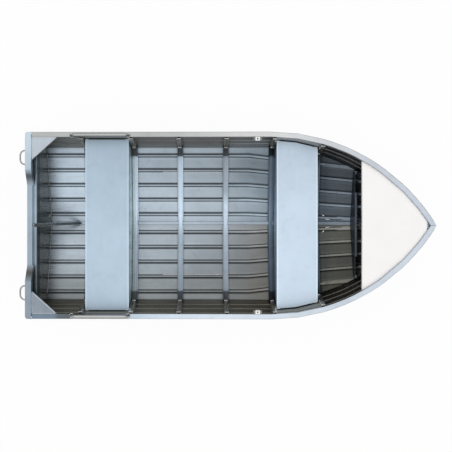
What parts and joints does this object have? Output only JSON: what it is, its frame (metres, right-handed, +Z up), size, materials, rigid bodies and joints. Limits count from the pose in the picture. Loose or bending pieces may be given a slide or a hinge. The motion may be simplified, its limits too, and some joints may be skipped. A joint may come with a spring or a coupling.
{
  "type": "open aluminium dinghy",
  "caption": "Open aluminium dinghy with pressed bottom and side sheets, cross frames, box seats, foredeck and a transom cut down for an outboard.",
  "frame": {"origin": "on the waterline in the centre plane, near the middle of the length", "axes": "+X to the bow, +Y to port, +Z up"},
  "size_m": [3.1317, 1.406, 0.5731],
  "materials": {
    "hull_sheet": "mill-finish sheet, lightly brushed",
    "extrusion": "satin extrusion",
    "frame_section": "mill-finish pressed section",
    "seat_sheet": "smooth satin sheet",
    "deck_paint": "cream white paint",
    "white_block": "moulded white plastic",
    "tube_and_rod": "polished tube and rod"
  },
  "bodies": {
    "root": {"bottom_sheet_port": "hull_sheet", "bottom_sheet_starboard": "hull_sheet", "bow_web": "hull_sheet", "chine_port": "extrusion", "chine_starboard": "extrusion", "drain": "tube_and_rod", "foredeck": "deck_paint", "frame_1_floor": "frame_section", "frame_1_risers": "frame_section", "frame_2_floor": "frame_section", "frame_2_risers": "frame_section", "frame_3_floor": "frame_section", "frame_3_risers": "frame_section", "frame_4_floor": "frame_section", "frame_4_risers": "frame_section", "frame_5_floor": "frame_section", "frame_5_risers": "frame_section", "frame_6_floor": "frame_section", "frame_6_risers": "frame_section", "front_seat_panels": "seat_sheet", "front_seat_top": "seat_sheet", "grab_rail_port": "tube_and_rod", "grab_rail_starboard": "tube_and_rod", "gunwale_port": "extrusion", "gunwale_starboard": "extrusion", "keel": "extrusion", "rear_seat_panels": "seat_sheet", "rear_seat_top": "seat_sheet", "rowlock_port": "white_block", "rowlock_starboard": "white_block", "side_sheet_port": "hull_sheet", "side_sheet_starboard": "hull_sheet", "stem_bar": "extrusion", "stern_handle_port": "tube_and_rod", "stern_handle_starboard": "tube_and_rod", "stern_knee_port": "extrusion", "stern_knee_starboard": "extrusion", "towing_eye": "tube_and_rod", "transom": "hull_sheet", "transom_brace": "tube_and_rod", "transom_cap": "extrusion", "transom_shelf": "hull_sheet"}
  },
  "joints": []
}
